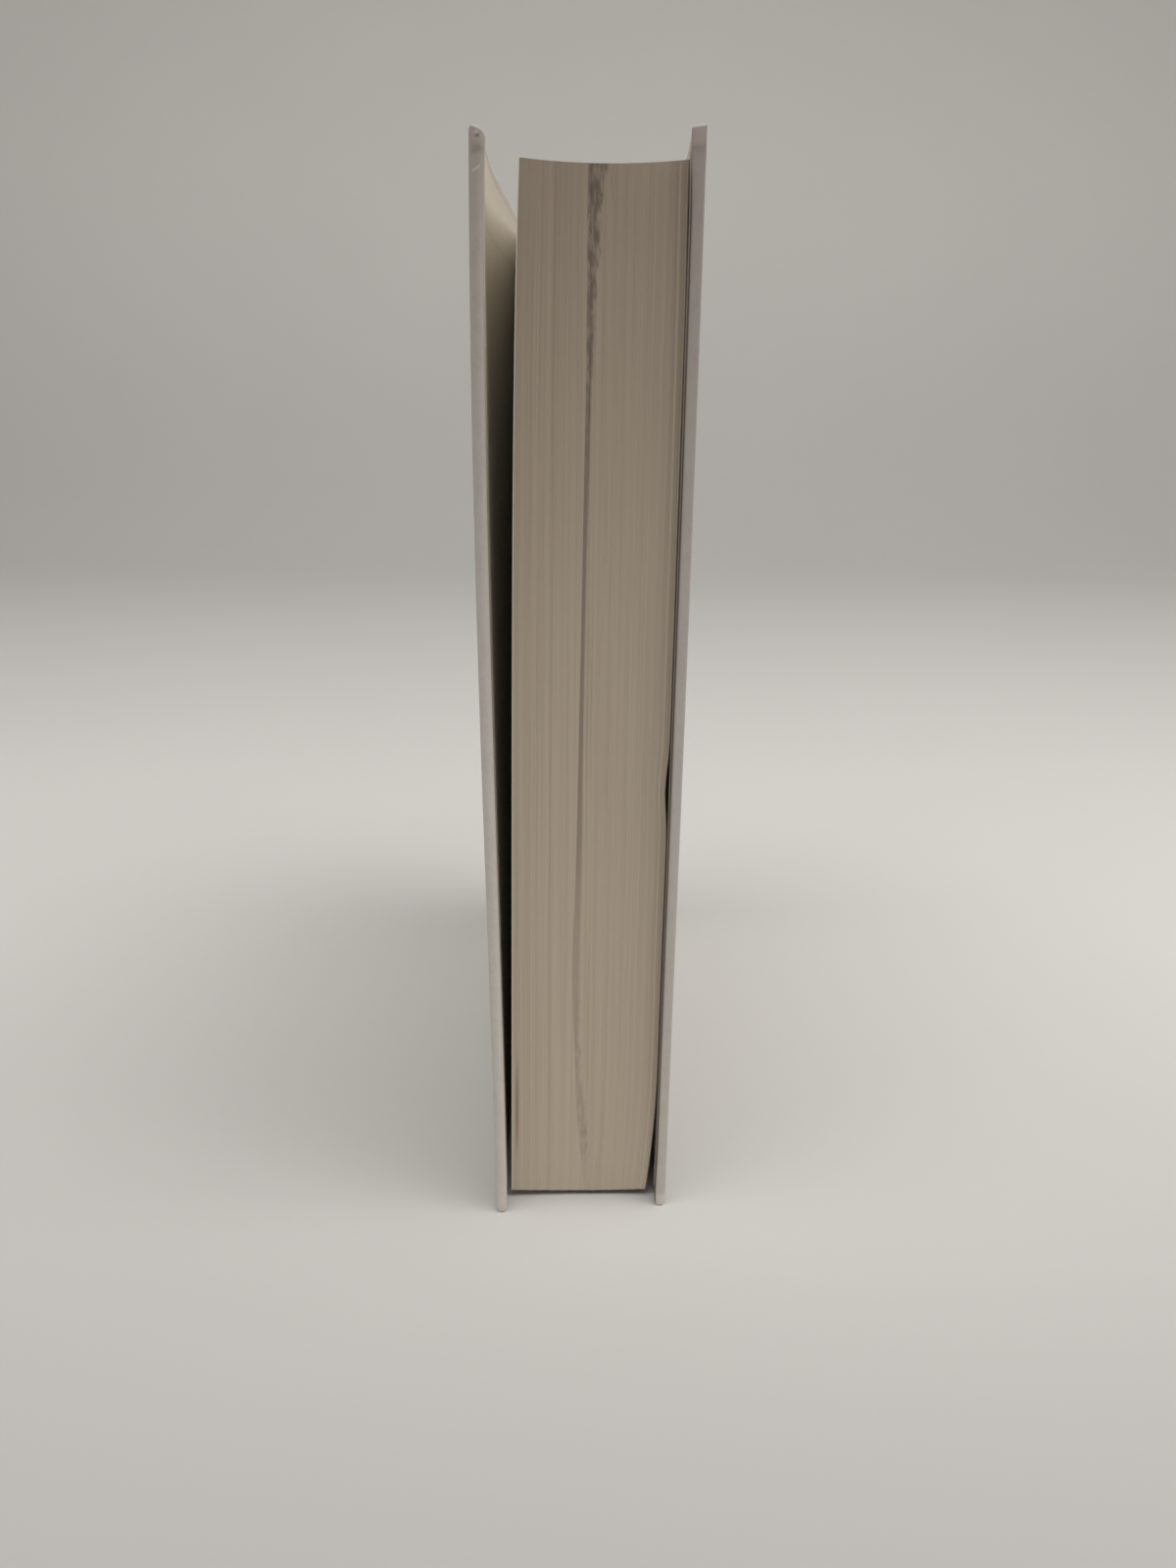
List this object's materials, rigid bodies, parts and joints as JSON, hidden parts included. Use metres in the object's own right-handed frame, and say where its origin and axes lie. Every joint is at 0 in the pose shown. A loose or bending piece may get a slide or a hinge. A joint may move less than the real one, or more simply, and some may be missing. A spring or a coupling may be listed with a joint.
{
  "type": "hardcover book",
  "caption": "Case-bound hardcover book with a flat spine, plain wrapped boards, grooved joints and a thick page block that sags and spreads towards its slightly open front cover.",
  "frame": {"origin": "middle of the book's footprint, at the height of the tail edges of its case", "axes": "+Z from tail to head, +Y from fore edge to spine, +X from front cover to back cover"},
  "size_m": [0.0428, 0.1638, 0.24],
  "materials": {
    "pages": "matt",
    "endpaper": "matt",
    "lining": "matt",
    "band": "satin",
    "board": "matt",
    "covering": "satin"
  },
  "bodies": {
    "book_block": {"text_block": "pages", "front_flyleaf": "endpaper", "back_flyleaf": "endpaper", "spine_lining": "lining", "headband": "band", "tailband": "band", "spine_board": "board", "spine_covering": "covering"},
    "front_cover": {"front_board": "board", "front_covering": "covering", "front_pastedown": "endpaper"},
    "back_cover": {"back_board": "board", "back_covering": "covering", "back_pastedown": "endpaper"}
  },
  "joints": [
    {"name": "front_joint", "type": "hinge", "parent": "book_block", "child": "front_cover", "pos_m": [-0.0192, 0.0767, 0], "axis": [0, 0, -1], "range_deg": [0, 177]},
    {"name": "back_joint", "type": "hinge", "parent": "book_block", "child": "back_cover", "pos_m": [0.0214, 0.0767, 0], "axis": [0, 0, 1], "range_deg": [0, 178]}
  ]
}
